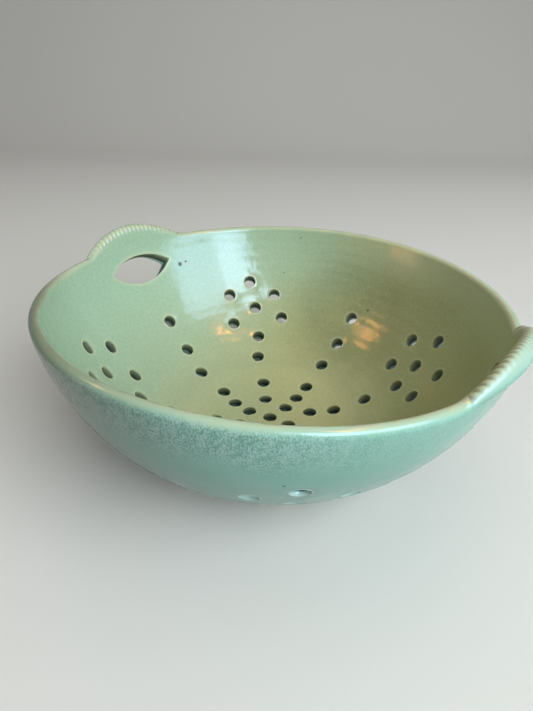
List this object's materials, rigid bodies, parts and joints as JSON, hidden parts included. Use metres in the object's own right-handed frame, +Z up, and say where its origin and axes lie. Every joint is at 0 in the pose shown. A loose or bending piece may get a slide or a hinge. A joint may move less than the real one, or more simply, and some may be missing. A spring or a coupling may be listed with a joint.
{
  "type": "berry colander bowl",
  "caption": "Round stoneware colander bowl with drain holes in flower patterns, a foot ring and raised finger handles with notched rope coils.",
  "frame": {"origin": "centre of the foot ring, on the table", "axes": "+Z up; the two handles lie on -X (left handle) and +X (right handle)"},
  "size_m": [0.243, 0.231, 0.1024],
  "materials": {
    "celadon_glaze": "glossy celadon glaze with fine mottling and a few iron specks",
    "cream_break_glaze": "glossy celadon glaze that breaks to cream over edges and notches",
    "bare_stoneware": "bare fired stoneware, matt"
  },
  "bodies": {
    "root": {"bowl": "celadon_glaze", "foot_ring": "bare_stoneware", "handle_arch_left": "celadon_glaze", "handle_arch_right": "celadon_glaze", "rope_coil_left": "cream_break_glaze", "rope_coil_right": "cream_break_glaze"}
  },
  "joints": []
}
